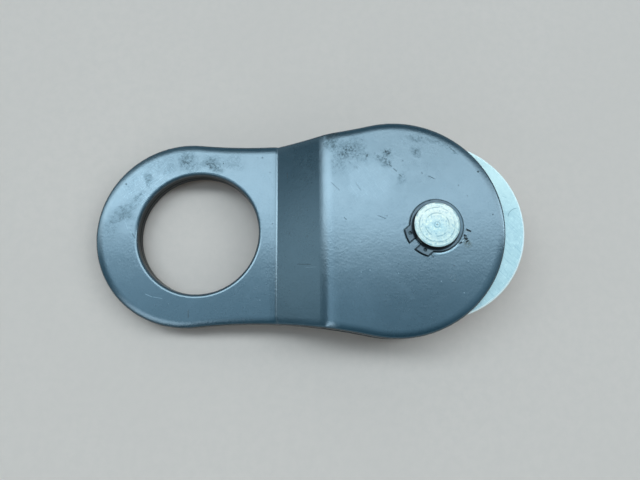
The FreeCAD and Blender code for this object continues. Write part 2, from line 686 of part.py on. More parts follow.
ball = new_body("grease_nipple_ball")
sk = new_sketch(ball, "ball_section", "XZ_Plane")
arc = sk.addGeometry(Part.ArcOfCircle(Part.Circle(V(0, 0, 0), V(0, 0, 1), D["ball_radius"]), -math.pi / 2, math.pi / 2), False)
line = sk.addGeometry(Part.LineSegment(V(0, D["ball_radius"], 0), V(0, -D["ball_radius"], 0)), False)
sk.addConstraint(Sketcher.Constraint("Coincident", arc, 2, line, 1))
sk.addConstraint(Sketcher.Constraint("Coincident", line, 2, arc, 1))
sk.addConstraint(Sketcher.Constraint("Coincident", arc, 3, -1, 1))
sk.addConstraint(Sketcher.Constraint("Vertical", line))
sk.addConstraint(Sketcher.Constraint("PointOnObject", line, 1, -2))
datum(sk, "Radius", (arc,), "@ball_radius", "ball_r")
revolve(ball, sk, "ball_turned")

spring = new_body("grease_nipple_spring")
sk = new_sketch(spring, "wire_section", "XZ_Plane")
circle(sk, "@spring_coil", 0, "@spring_wire", "wire")
helix = spring.newObject("PartDesign::AdditiveHelix", "spring_coils")
helix.Profile = sk
helix.ReferenceAxis = (sk, ["V_Axis"])
helix.Mode = "pitch-height-angle"
helix.Pitch = D["spring_pitch"]
helix.Height = D["spring_high"]
helix.setExpression("Pitch", bound("@spring_pitch"))
helix.setExpression("Height", bound("@spring_high"))
doc.recompute()

doc.recompute()

# the ball rests on the cone under the filling hole, the spring behind it
cone_half = math.atan2(D["nipple_cavity"] - D["nipple_mouth"], 1.1)
# distance from the filling hole's inner edge along the axis to the ball centre
seat_r = D["ball_radius"] * math.cos(cone_half)
cone_start = D["nipple_high"] - 0.3
ball_top = cone_start - (seat_r - D["nipple_mouth"]) / math.tan(cone_half)
ball_level = ball_top - D["ball_radius"] * math.sin(cone_half) - 0.03
seat_level = value_of(SEAT)
ball.Placement = FreeCAD.Placement(V(D["pin_distance"], 0, seat_level - ball_level), FreeCAD.Rotation())
ball.setExpression("Placement.Base.x", bound("@pin_distance"))
spring_foot = seat_level - ball_level + D["ball_radius"] * 0.72 + D["spring_wire"]
spring.Placement = FreeCAD.Placement(V(D["pin_distance"], 0, spring_foot), FreeCAD.Rotation())
spring.setExpression("Placement.Base.x", bound("@pin_distance"))

doc.recompute()

NODES = [upper_plate, lower_plate, sheave, bushing, upper_washer, lower_washer, axle,
         upper_ring, lower_ring, nipple, ball, spring]

for obj in doc.Objects:
    bad = [state for state in obj.State if state in ("Invalid", "Error")]
    if bad:
        raise RuntimeError("%s: %s" % (obj.Label, bad))
    if obj.TypeId == "Sketcher::SketchObject":
        left_over = obj.solve()
        if left_over != 0:
            raise RuntimeError("sketch %s: %s" % (obj.Label, left_over))

for body in NODES:
    shape = body.Shape
    if shape.isNull() or not shape.isValid():
        raise RuntimeError("%s has no valid shape" % body.Label)
    if len(shape.Solids) != 1:
        raise RuntimeError("%s has %d solids" % (body.Label, len(shape.Solids)))
    shape.exportStep("parts/%s.step" % body.Label)
    box = shape.BoundBox
    print("%-24s %10.1f mm3  X %8.2f %8.2f  Y %8.2f %8.2f  Z %8.2f %8.2f" % (
        body.Label, shape.Volume, box.XMin, box.XMax, box.YMin, box.YMax, box.ZMin, box.ZMax))
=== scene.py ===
import math

import bpy
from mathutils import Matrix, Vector


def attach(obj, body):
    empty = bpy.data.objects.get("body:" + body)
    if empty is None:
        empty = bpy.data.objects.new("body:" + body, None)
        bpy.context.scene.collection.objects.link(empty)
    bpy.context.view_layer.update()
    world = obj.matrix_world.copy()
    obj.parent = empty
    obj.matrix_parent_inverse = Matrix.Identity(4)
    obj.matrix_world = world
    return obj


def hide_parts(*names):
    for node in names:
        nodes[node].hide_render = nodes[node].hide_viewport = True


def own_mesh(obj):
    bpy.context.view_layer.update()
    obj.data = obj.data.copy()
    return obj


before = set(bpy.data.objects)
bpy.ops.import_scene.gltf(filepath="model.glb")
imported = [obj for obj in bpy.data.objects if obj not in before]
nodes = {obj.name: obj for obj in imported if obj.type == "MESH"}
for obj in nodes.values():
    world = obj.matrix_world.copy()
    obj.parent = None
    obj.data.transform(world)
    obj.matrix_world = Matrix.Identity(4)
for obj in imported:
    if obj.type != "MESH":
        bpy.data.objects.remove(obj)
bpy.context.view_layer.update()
scene = bpy.context.scene

MM = 0.001
PIN_X = 134.2                         # pin axis, millimetres from the eye centre
EYE_TOP = 5.05                        # outer face of the eye end
LOBE_TOP = 18.0                       # outer face of the lobe


# ---------------------------------------------------------------------------
# small node helpers
# ---------------------------------------------------------------------------
class Tree:
    """Builds a node tree out of short lines."""

    def __init__(self, node_tree, coordinate):
        self.nodes = node_tree.nodes
        self.links = node_tree.links
        self.nodes.clear()
        self.coord = self.nodes.new("ShaderNodeTexCoord").outputs[coordinate]

    def put(self, socket, value):
        if isinstance(value, bpy.types.NodeSocket):
            self.links.new(value, socket)
        else:
            if socket.type == "RGBA" and len(value) == 3:
                value = (*value, 1.0)
            socket.default_value = value

    def math(self, operation, a, b=0.0, c=None, clamp=False):
        n = self.nodes.new("ShaderNodeMath")
        n.operation = operation
        n.use_clamp = clamp
        self.put(n.inputs[0], a)
        self.put(n.inputs[1], b)
        if c is not None:
            self.put(n.inputs[2], c)
        return n.outputs[0]

    def times(self, *values):
        total = values[0]
        for value in values[1:]:
            total = self.math("MULTIPLY", total, value)
        return total

    def plus(self, *values):
        total = values[0]
        for value in values[1:]:
            total = self.math("ADD", total, value)
        return total

    def most(self, *values):
        total = values[0]
        for value in values[1:]:
            total = self.math("MAXIMUM", total, value)
        return total

    def vmath(self, operation, a, b=(0, 0, 0), scale=None):
        n = self.nodes.new("ShaderNodeVectorMath")
        n.operation = operation
        self.put(n.inputs[0], a)
        if operation not in ("LENGTH", "NORMALIZE", "SCALE"):
            self.put(n.inputs[1], b)
        if scale is not None:
            self.put(n.inputs["Scale"], scale)
        return n.outputs["Value"] if operation in ("LENGTH", "DISTANCE", "DOT_PRODUCT") else n.outputs[0]

    def noise(self, scale, detail=3.0, roughness=0.55, vector=None, distortion=0.0, seed=0.0):
        n = self.nodes.new("ShaderNodeTexNoise")
        n.noise_dimensions = "4D"
        self.put(n.inputs["Vector"], self.coord if vector is None else vector)
        n.inputs["W"].default_value = seed
        n.inputs["Scale"].default_value = scale
        n.inputs["Detail"].default_value = detail
        n.inputs["Roughness"].default_value = roughness
        n.inputs["Distortion"].default_value = distortion
        return n.outputs["Fac"]

    def cells(self, scale, vector=None, randomness=1.0, feature="F1", output="Distance"):
        n = self.nodes.new("ShaderNodeTexVoronoi")
        n.feature = feature
        self.put(n.inputs["Vector"], self.coord if vector is None else vector)
        n.inputs["Scale"].default_value = scale
        n.inputs["Randomness"].default_value = randomness
        return n.outputs[output]

    def ramp(self, value, low, high, to_low=0.0, to_high=1.0, smooth=True):
        n = self.nodes.new("ShaderNodeMapRange")
        n.interpolation_type = "SMOOTHSTEP" if smooth else "LINEAR"
        n.clamp = True
        self.put(n.inputs["Value"], value)
        n.inputs["From Min"].default_value = low
        n.inputs["From Max"].default_value = high
        n.inputs["To Min"].default_value = to_low
        n.inputs["To Max"].default_value = to_high
        return n.outputs["Result"]

    def mix(self, factor, a, b, blend="MIX"):
        n = self.nodes.new("ShaderNodeMix")
        n.data_type = "RGBA"
        n.blend_type = blend
        n.clamp_factor = True
        self.put(n.inputs[0], factor)
        self.put(n.inputs[6], a)
        self.put(n.inputs[7], b)
        return n.outputs[2]

    def split(self, vector=None):
        n = self.nodes.new("ShaderNodeSeparateXYZ")
        self.put(n.inputs[0], self.coord if vector is None else vector)
        return n.outputs[0], n.outputs[1], n.outputs[2]

    def join(self, x, y, z):
        n = self.nodes.new("ShaderNodeCombineXYZ")
        self.put(n.inputs[0], x)
        self.put(n.inputs[1], y)
        self.put(n.inputs[2], z)
        return n.outputs[0]

    def turned(self, degrees, vector=None):
        n = self.nodes.new("ShaderNodeVectorRotate")
        n.rotation_type = "Z_AXIS"
        self.put(n.inputs["Vector"], self.coord if vector is None else vector)
        n.inputs["Angle"].default_value = -math.radians(degrees)
        return n.outputs[0]

    def streaks(self, degrees, along, across, seed=0.0, detail=2.0):
        """Noise drawn out along a direction on the XY plan; lengths in millimetres."""
        local = self.turned(degrees)
        scaled = self.vmath("MULTIPLY", local, (1 / (along * MM), 1 / (across * MM), 1 / (along * MM)))
        return self.noise(1.0, detail, 0.6, vector=scaled, seed=seed)

    def warped(self, scale, reach, seed=0.0, detail=3.0):
        """The coordinate pushed about by noise, by up to half of reach millimetres."""
        n = self.nodes.new("ShaderNodeTexNoise")
        n.noise_dimensions = "4D"
        self.put(n.inputs["Vector"], self.coord)
        n.inputs["W"].default_value = seed
        n.inputs["Scale"].default_value = scale
        n.inputs["Detail"].default_value = detail
        push = self.vmath("SUBTRACT", n.outputs["Color"], (0.5, 0.5, 0.5))
        return self.vmath("ADD", self.coord, self.vmath("SCALE", push, scale=reach * 2 * MM))

    def spot(self, x, y, rx, ry=None, turn=0.0, soft=0.6, where=None):
        """1 inside an ellipse on the XY plan, falling to 0 at its edge. Millimetres."""
        moved = self.vmath("SUBTRACT", self.coord if where is None else where, (x * MM, y * MM, 0))
        if turn:
            moved = self.turned(turn, moved)
        scaled = self.vmath("MULTIPLY", moved, (1 / (rx * MM), 1 / ((ry or rx) * MM), 0))
        return self.ramp(self.vmath("LENGTH", scaled), 1.0, 1.0 - soft)

    def line(self, x0, y0, x1, y1, width, waver=0.0, seed=0.0):
        """1 along a thin straight mark between two points on the XY plan."""
        angle = math.degrees(math.atan2(y1 - y0, x1 - x0))
        length = math.hypot(x1 - x0, y1 - y0)
        moved = self.vmath("SUBTRACT", self.coord, (x0 * MM, y0 * MM, 0))
        u, v, _ = self.split(self.turned(angle, moved))
        if waver:
            v = self.plus(v, self.times(self.math("SUBTRACT", self.noise(400, 1, 0.5, seed=seed), 0.5), waver * MM))
        side = self.ramp(self.math("ABSOLUTE", v), width * MM, width * 0.3 * MM)
        middle = self.math("ABSOLUTE", self.math("SUBTRACT", u, length * 0.5 * MM))
        ends = self.ramp(middle, length * 0.5 * MM, length * 0.3 * MM)
        return self.times(side, ends)

    def arc(self, cx, cy, radius, width):
        """1 along a circle on the XY plan."""
        moved = self.vmath("MULTIPLY", self.vmath("SUBTRACT", self.coord, (cx * MM, cy * MM, 0)), (1, 1, 0))
        away = self.math("ABSOLUTE", self.math("SUBTRACT", self.vmath("LENGTH", moved), radius * MM))
        return self.ramp(away, width * MM, width * 0.25 * MM)

    def ring_gap(self, turn):
        """Distance in metres outside the retaining ring's outline; turn is its gap's direction."""
        moved = self.vmath("SUBTRACT", self.coord, (PIN_X * MM, 0, 0))
        u, v, _ = self.split(self.turned(turn, moved))
        v = self.math("ABSOLUTE", v)
        w = self.plus(u, 0.45 * MM)
        body = self.math("SUBTRACT", self.math("SQRT", self.plus(self.times(w, w), self.times(v, v))), 14.6 * MM)
        side = self.math("SUBTRACT", 2.35 * MM, v)
        open_side = self.math("SUBTRACT", side, self.math("MULTIPLY", self.math("LESS_THAN", u, 0.0), 1.0))
        body = self.most(body, open_side)
        reach = self.math("SUBTRACT", self.math("SQRT", self.plus(self.times(u, u), self.times(v, v))), 17.3 * MM)
        lug = self.most(reach, side, self.math("SUBTRACT", v, 9.55 * MM), self.math("SUBTRACT", 8.0 * MM, u))
        return self.math("MINIMUM", body, lug)

    def bump(self, height, distance, normal=None, strength=1.0):
        n = self.nodes.new("ShaderNodeBump")
        n.inputs["Strength"].default_value = strength
        n.inputs["Distance"].default_value = distance
        self.put(n.inputs["Height"], height)
        if normal is not None:
            self.put(n.inputs["Normal"], normal)
        return n.outputs[0]

    def edge(self, radius, low=0.01, high=0.12):
        """Near 1 along sharp edges: how far a rounded normal leans off the true one."""
        bevel = self.nodes.new("ShaderNodeBevel")
        bevel.samples = 4
        bevel.inputs["Radius"].default_value = radius
        geometry = self.nodes.new("ShaderNodeNewGeometry")
        dot = self.vmath("DOT_PRODUCT", bevel.outputs[0], geometry.outputs["Normal"])
        return self.ramp(self.math("SUBTRACT", 1.0, dot), low, high)


class Skin(Tree):
    """A material with one principled shader."""

    def __init__(self, name):
        self.material = bpy.data.materials.new(name)
        self.material.use_nodes = True
        super().__init__(self.material.node_tree, "Object")
        out = self.nodes.new("ShaderNodeOutputMaterial")
        self.shader = self.nodes.new("ShaderNodeBsdfPrincipled")
        self.links.new(self.shader.outputs["BSDF"], out.inputs["Surface"])

    def set(self, name, value):
        self.put(self.shader.inputs[name], value)


# ---------------------------------------------------------------------------
# Paint: gloss blue-grey on pressed steel
# ---------------------------------------------------------------------------
PAINT = (0.014, 0.034, 0.045)
PAINT_LIGHT = (0.018, 0.041, 0.054)


def rolled_edges(t):
    """A punched plate's rims roll down over the last few millimetres: the height in metres,
    and the distance in from the outline."""
    x, y, _ = t.split()
    side = t.math("ABSOLUTE", y)

    def far(cx, cy):
        u = t.math("SUBTRACT", x, cx * MM)
        v = t.math("SUBTRACT", side, cy * MM)
        return t.math("SQRT", t.plus(t.times(u, u), t.times(v, v)))

    eye = t.math("SUBTRACT", 54.0 * MM, far(-5.3, 0.0))
    lobe = t.math("SUBTRACT", 60.7 * MM, far(111.8, 0.0))
    waist = t.math("SUBTRACT", far(31.75, 365.02), 313.0 * MM)
    in_eye = t.math("LESS_THAN", x, 0.14 * MM)
    in_lobe = t.math("GREATER_THAN", x, 98.8 * MM)
    in_waist = t.math("SUBTRACT", 1.0, t.plus(in_eye, in_lobe))
    inward = t.plus(t.times(eye, in_eye), t.times(lobe, in_lobe), t.times(waist, in_waist))
    outer = t.math("MAXIMUM", t.math("SUBTRACT", 4.8 * MM, inward), 0.0)
    hole = t.math("MAXIMUM", t.math("SUBTRACT", 37.4 * MM, far(0.0, 0.0)), 0.0)
    ramp_part = t.times(t.ramp(x, 44.5 * MM, 47.5 * MM), t.ramp(x, 76.5 * MM, 73.0 * MM))
    roll = t.math("SUBTRACT", t.times(ramp_part, 17.0), 25.0)
    return t.plus(t.times(outer, outer, roll), t.times(hole, hole, -100.0)), inward


BARE = (0.40, 0.39, 0.37)


def paint(name, seed, marked):
    t = Skin(name)
    blotch = t.noise(24, 4, 0.6, seed=1.3 + seed)
    fine = t.noise(190, 3, 0.6, seed=4.1 + seed)
    base = t.mix(t.ramp(blotch, 0.35, 0.68), PAINT, PAINT_LIGHT)
    base = t.mix(t.times(t.ramp(fine, 0.52, 0.8), 0.3), base, (0.030, 0.062, 0.080))
    rough = t.plus(0.155, t.times(blotch, 0.05), t.times(t.ramp(fine, 0.4, 0.8), 0.03))

    # handling marks all over, thinly: wiped streaks and small dark specks
    wipe = t.times(t.ramp(t.streaks(34, 9.0, 0.45, seed=2.0 + seed), 0.55, 0.75), t.ramp(t.noise(30, 2, 0.5, seed=8.0 + seed), 0.5, 0.7))
    rough = t.plus(rough, t.times(wipe, 0.06))
    speck_cell = t.cells(110)
    speck = t.times(t.ramp(speck_cell, 0.055, 0.03), t.ramp(t.noise(45, 2, 0.5, seed=5.0 + seed), 0.5, 0.62))
    base = t.mix(t.times(speck, 0.6), base, (0.012, 0.018, 0.020))

    grit = t.noise(1250, 2, 0.7, seed=14.0 + seed)
    hush = t.times(t.ramp(grit, 0.45, 0.75), t.ramp(fine, 0.30, 0.70, 0.4, 1.0), 0.20)   # how far the gloss is hushed
    corner_turn = 219.6 if marked else 35.0
    away = t.ring_gap(corner_turn)
    corner = t.ramp(away, 0.85 * MM, 0.30 * MM)

    if marked:
        mottle = t.noise(420, 4, 0.8, seed=12.0)
        coarse = t.noise(95, 3, 0.65, seed=13.0)
        wide = t.warped(110, 8.0, seed=41.0, detail=5.0)
        near = t.warped(260, 3.6, seed=42.0, detail=4.0)
        ragged = t.noise(820, 3, 0.8, seed=15.0)
        dabs = t.times(t.ramp(ragged, 0.46, 0.60), t.ramp(coarse, 0.36, 0.56))
        clean = t.spot(99.5, 25.5, 16.0, 13.5, -12, 0.40, where=near)
        # a thin mottled film of dirt on the upper half, wiped off in one place
        film = t.most(t.times(t.spot(112.0, 33.0, 46.0, 27.0, 0, 0.6, where=wide), 0.16),
                      t.times(t.spot(-20.0, 26.0, 46.0, 34.0, 0, 0.6, where=wide), 0.12))
        film = t.times(film, t.ramp(t.plus(t.times(mottle, 0.5), t.times(coarse, 0.5)), 0.36, 0.60))
        # dull smudges: place, size, turn, strength
        clouds = [
            (-20.0, 44.0, 24.0, 8.0, 6, 0.36), (-50.0, 2.0, 7.0, 9.0, 0, 0.30), (77.5, 52.0, 6.0, 6.0, 0, 0.80),
            (-8.0, 44.0, 8.0, 7.0, 0, 0.90), (6.0, 42.5, 8.0, 5.4, -15, 1.00), (18.0, 43.0, 9.0, 4.0, -10, 0.45),
            (-19.0, 40.0, 8.5, 4.6, 22, 0.50), (-32.0, 34.8, 7.0, 2.6, -47, 0.85), (-35.0, 22.6, 6.4, 2.6, 35, 0.72),
            (-42.0, 14.0, 10.5, 5.4, 35, 0.80), (-47.5, 8.4, 6.0, 3.0, 10, 0.62), (-43.5, 30.0, 1.3, 1.2, 0, 0.60),
            (87.0, 45.0, 11.5, 9.0, 0, 0.78), (81.5, 36.0, 4.6, 9.0, 0, 0.50), (77.0, 50.0, 4.4, 7.5, 0, 0.95),
            (96.6, 40.8, 3.4, 3.0, 0, 0.60), (108.0, 43.2, 4.2, 2.8, 0, 0.85), (106.5, 38.2, 8.0, 3.6, -22, 0.62),
            (125.5, 42.2, 3.4, 3.8, 0, 0.75), (126.0, 50.5, 6.5, 2.4, -8, 0.60), (116.5, 27.0, 3.2, 8.5, -12, 0.50),
            (147.0, 43.0, 3.0, 1.3, -40, 0.60), (138.0, 48.6, 8.0, 1.8, -28, 0.50),
        ]
        dull = None
        for x, y, rx, ry, turn, strength in clouds:
            mark = t.times(t.spot(x, y, rx * 1.48, ry * 1.48, turn, 1.0, where=wide), strength)
            dull = mark if dull is None else t.most(dull, mark)
        streaked = t.streaks(38, 5.0, 0.5, seed=24.0)
        crossed = t.streaks(-50, 4.0, 0.4, seed=27.0)
        dull = t.times(dull, t.ramp(mottle, 0.34, 0.60, 0.45, 1.0), t.ramp(ragged, 0.36, 0.62, 0.55, 1.1),
                       t.ramp(streaked, 0.38, 0.58, 0.62, 1.1), t.ramp(crossed, 0.38, 0.58, 0.75, 1.1))
        dull = t.most(dull, film)
        dull = t.times(dull, t.math("SUBTRACT", 1.0, t.times(clean, 0.85)))
        base = t.mix(t.times(clean, 0.5), base, (0.040, 0.062, 0.074))
        # darker brownish dabs
        brown = None
        for x, y, rx, ry, turn, strength in [
            (108.5, 43.3, 4.8, 3.2, -15, 0.9), (106.8, 37.8, 7.4, 3.8, -28, 0.85), (125.6, 42.0, 3.8, 4.0, 0, 0.85),
            (97.0, 41.0, 3.0, 3.4, 0, 0.8), (92.0, 34.5, 3.0, 1.6, 0, 0.6), (113.0, 34.0, 5.0, 2.2, -45, 0.7),
            (6.0, 41.5, 4.2, 3.0, -10, 0.7), (130.0, 51.0, 9.0, 2.2, -22, 0.5), (145.8, 43.9, 2.4, 1.0, -42, 0.9),
            (86.0, 45.0, 9.5, 8.5, 0, 0.55), (-43.0, 11.0, 7.0, 4.0, 30, 0.5), (-8.5, 43.0, 6.0, 4.0, 0, 0.4), (132.4, 28.6, 4.2, 1.2, -33, 0.6),
            (141.8, -28.4, 4.0, 3.0, 0, 0.35), (167.0, -1.1, 2.4, 3.0, 0, 0.30), (117.7, -28.1, 1.3, 1.0, 0, 0.5),
        ]:
            mark = t.times(t.spot(x, y, rx, ry, turn, 0.8, where=near), strength)
            brown = mark if brown is None else t.most(brown, mark)
        brown = t.times(brown, dabs)
        grime = t.most(t.times(dull, 0.7), brown)
        base = t.mix(t.times(grime, 0.75), base, (0.040, 0.046, 0.044))
        rough = t.plus(rough, t.times(dull, 0.16), t.times(brown, 0.26))
        hush = t.most(hush, t.times(dull, 0.84), t.times(brown, 0.84))

        # hairlines from wiping, some pale and some dull
        bands = t.most(t.spot(-30.0, 30.0, 24.0, 15.0, 40, 0.5), t.times(t.spot(97.0, 28.0, 19.0, 17.0, 0, 0.5), 0.6))
        hair_a = t.most(t.ramp(t.streaks(38, 6.0, 0.30, seed=21.0), 0.55, 0.68), t.ramp(t.streaks(-56, 5.0, 0.30, seed=22.0), 0.57, 0.68))
        hair_b = t.most(t.ramp(t.streaks(30, 6.0, 0.34, seed=25.0), 0.55, 0.68), t.ramp(t.streaks(-64, 5.5, 0.34, seed=26.0), 0.56, 0.68))
        base = t.mix(t.times(bands, hair_a, 0.85), base, (0.095, 0.132, 0.150))
        hush = t.most(hush, t.times(bands, hair_b, 0.36))

        # dark dots and short marks
        dots = None
        for x, y, r, strength in [
            (36.67, 45.4, 0.50, 0.9), (33.8, 45.2, 0.35, 0.6), (41.3, 36.3, 0.40, 0.8), (43.0, 5.3, 0.40, 0.8),
            (13.5, 42.1, 0.50, 0.8), (148.0, 23.2, 0.4, 0.7), (159.3, 30.9, 0.75, 1.0), (165.9, 6.2, 0.50, 0.9),
            (143.0, -21.9, 0.5, 0.7), (-25.3, 43.8, 0.5, 0.6), (46.8, -11.0, 0.4, 0.5), (152.5, 17.0, 0.4, 0.6),
            (117.5, 38.0, 0.5, 0.6), (91.0, 44.0, 0.5, 0.8), (107.7, 6.3, 0.4, 0.6), (53.2, -1.4, 0.4, 0.6),
            (63.3, -3.8, 0.4, 0.5), (128.0, 30.5, 0.5, 0.7), (-43.6, 30.2, 0.8, 0.6),
        ]:
            mark = t.times(t.spot(x, y, r, soft=0.5), strength)
            dots = mark if dots is None else t.most(dots, mark)
        for x0, y0, x1, y1, w in [
            (84.0, 5.6, 85.6, 4.0, 0.35), (102.2, 6.6, 107.6, 4.3, 0.28), (112.0, 33.6, 114.2, 31.6, 0.35),
            (115.0, 30.2, 116.9, 28.4, 0.35), (131.0, 29.0, 135.5, 26.8, 0.35), (109.5, 36.0, 111.6, 34.4, 0.35),
            (76.8, 26.2, 82.4, 20.6, 0.20), (90.5, 26.0, 94.0, 20.5, 0.18), (-38.6, 0.8, -36.2, -2.4, 0.35),
            (-3.9, -43.4, -3.7, -48.4, 0.45), (143.6, 46.1, 147.9, 42.0, 0.35),
            (57.0, -19.0, 66.0, -19.8, 0.22), (51.6, 35.5, 51.8, 31.5, 0.25),
        ]:
            dots = t.most(dots, t.times(t.line(x0, y0, x1, y1, w, 0.3, 11.0), 0.7))
        base = t.mix(t.times(dots, 0.85), base, (0.010, 0.014, 0.016))
        rough = t.plus(rough, t.times(dots, 0.20))
        hush = t.most(hush, t.times(dots, 0.75))

        # pale specks and fine light scratches
        pale = None
        for x, y, r in [(92.8, -24.9, 0.50), (113.0, -25.7, 0.40), (135.7, -30.3, 0.42), (36.4, -38.6, 0.35),
                        (147.6, -36.6, 0.5), (150.8, -19.5, 0.30), (97.6, -23.9, 0.35), (128.9, 11.3, 0.35)]:
            mark = t.spot(x, y, r, soft=0.7)
            pale = mark if pale is None else t.most(pale, mark)
        dust_cell = t.cells(130, vector=t.vmath("ADD", t.coord, (0.31, 0.17, 0.05)))
        dust = t.times(t.ramp(dust_cell, 0.045, 0.02), t.ramp(t.noise(35, 2, 0.5, seed=51.0), 0.48, 0.60))
        scratch = t.most(t.line(-29.1, -34.4, -24.2, -36.5, 0.22), t.line(-24.8, -36.2, -18.4, -37.3, 0.22))
        for x0, y0, x1, y1 in [(-44.5, 15.5, -42.8, 8.6), (-41.8, 16.0, -40.2, 10.0), (-41.0, 5.0, -37.0, -3.0), (-43.5, 9.0, -40.5, 2.0),
                               (-18.0, 41.0, -15.8, 38.5), (62.1, -21.3, 69.1, -21.4), (-26.0, 31.0, -18.0, 37.5), (-30.0, 27.5, -22.0, 34.0)]:
            scratch = t.most(scratch, t.times(t.line(x0, y0, x1, y1, 0.20), 0.45))
        pale = t.most(t.times(pale, 0.55), t.times(dust, 0.30), t.times(scratch, 0.60))
        base = t.mix(pale, base, (0.24, 0.28, 0.30))

        # ragged chips where the paint broke beside the ring, with a rusty stain
        torn = t.noise(900, 3, 0.7, seed=31.0)
        stain = t.times(t.spot(151.0, -9.9, 3.2, 3.8, 15, 0.8), t.ramp(torn, 0.36, 0.60))
        base = t.mix(t.times(stain, 0.8), base, (0.075, 0.066, 0.036))
        rough = t.plus(rough, t.times(stain, 0.25))
        hush = t.most(hush, t.times(stain, 0.5))
        chip_dark = t.most(
            t.line(150.6, -1.8, 153.6, -3.4, 0.60, 0.6, 1.0), t.line(149.2, -5.1, 150.9, -6.1, 0.70, 0.6, 2.0),
            t.line(149.2, -6.6, 151.4, -7.6, 0.80, 0.8, 3.0), t.line(146.1, -10.0, 148.4, -9.0, 0.45, 0.3, 4.0),
            t.line(150.2, -9.2, 151.8, -8.0, 0.45, 0.4, 5.0), t.line(130.8, -15.5, 132.4, -17.4, 0.22, 0.2, 6.0))
        base = t.mix(t.times(chip_dark, 0.88), base, (0.010, 0.010, 0.008))
        rough = t.plus(rough, t.times(chip_dark, 0.4))
        hush = t.most(hush, t.times(chip_dark, 0.75))
        chip_light = t.most(
            t.line(150.0, -2.6, 151.4, -3.4, 0.40, 0.5, 7.0), t.line(149.6, -6.4, 151.0, -6.0, 0.25, 0.3, 8.0),
            t.line(147.9, -8.7, 149.6, -7.7, 0.45, 0.4, 9.0))
        base = t.mix(t.times(chip_light, 0.9), base, (0.40, 0.42, 0.41))

        # a bead of thick paint against the ring, raised by a bump, with a painted highlight: its crest is painted
        # pale
        bead_with_painted_highlight = t.times(t.ramp(away, 0.45 * MM, 0.75 * MM), t.ramp(away, 2.1 * MM, 0.9 * MM), t.spot(140.5, -14.6, 10.5, 5.0, 22, 0.5))
        # painted highlight: the bead's crest painted pale, its gloss kept
        base = t.mix(t.times(bead_with_painted_highlight, 0.85), base, (0.50, 0.56, 0.57))
        hush = t.times(hush, t.math("SUBTRACT", 1.0, bead_with_painted_highlight))
        bead = bead_with_painted_highlight
    else:
        bead = None
    # painted shade: the corner round the retaining ring is darkened and its gloss dulled, partly grime and partly the
    # shade that falls there
    base = t.mix(t.times(corner, 0.92), base, (0.006, 0.008, 0.009))
    hush = t.most(hush, t.times(corner, 0.88))
    # painted shade along the sheared outline: the edge band is darkened and its gloss dulled
    rolled, inward = rolled_edges(t)
    outline_shade = t.times(t.ramp(inward, 0.50 * MM, 0.15 * MM), t.ramp(fine, 0.25, 0.5, 0.75, 1.0))
    base = t.mix(t.times(outline_shade, 0.6), base, (0.010, 0.014, 0.016))
    hush = t.most(hush, t.times(outline_shade, 0.70 if marked else 0.86))
    # painted shade down the walls of the holes: darkened, dulled and made rougher
    x, y, z = t.split()
    from_eye = t.vmath("LENGTH", t.vmath("MULTIPLY", t.coord, (1, 1, 0)))
    wall_shade = t.times(t.ramp(from_eye, 35.9 * MM, 35.3 * MM), t.ramp(z, 4.4 * MM, 3.7 * MM))
    base = t.mix(t.times(wall_shade, 0.9), base, (0.006, 0.007, 0.007))
    hush = t.most(hush, t.times(wall_shade, 0.93))
    rough = t.plus(rough, t.times(wall_shade, 0.15))

    # paint rubbed through on the edges
    sharp = t.edge(0.0011, 0.004, 0.05)
    rub = t.times(sharp, t.ramp(t.noise(330, 4, 0.75, seed=16.0 + seed), 0.60, 0.70), t.ramp(t.noise(40, 2, 0.5, seed=17.0 + seed), 0.42, 0.60))
    thin = t.times(sharp, t.ramp(t.noise(120, 3, 0.7, seed=18.0 + seed), 0.40, 0.70))
    base = t.mix(t.times(thin, 0.30), base, (0.085, 0.125, 0.145))
    base = t.mix(t.times(hush, 0.85), base, (0.016, 0.019, 0.019))
    base = t.mix(t.times(rub, 0.9), base, BARE)
    rough = t.plus(rough, t.times(rub, 0.2))
    t.set("Metallic", t.most(t.times(rub, 0.9), t.times(hush, t.math("SUBTRACT", 1.0, rub))))

    t.set("Base Color", base)
    t.set("Roughness", rough)
    t.shader.inputs["IOR"].default_value = 1.80

    peel = t.noise(760, 1.5, 0.5, seed=2.2 + seed)
    x, _, _ = t.split()
    crown = t.times(t.ramp(x, 72.5 * MM, 75.0 * MM), t.ramp(x, 80.5 * MM, 77.5 * MM))
    beside = t.times(t.ramp(x, 22.0 * MM, 34.0 * MM), t.ramp(x, 46.0 * MM, 44.0 * MM))
    beside = t.times(beside, t.ramp(t.noise(55, 2, 0.5, seed=3.9 + seed), 0.38, 0.60))
    peel = t.plus(peel, t.times(t.plus(t.times(crown, 0.75), t.times(beside, 0.8)), t.noise(880, 1.0, 0.5, seed=3.3 + seed)))
    swell = t.noise(70, 2, 0.5, seed=7.7 + seed)
    normal = t.bump(rolled, 1.0)
    normal = t.bump(peel, 0.000027, normal)
    normal = t.bump(swell, 0.000060, normal)
    if bead is not None:
        normal = t.bump(bead, 0.00004, normal)
        normal = t.bump(t.times(t.most(chip_dark, chip_light), -1.0), 0.00012, normal)
    t.set("Normal", normal)
    return t.material


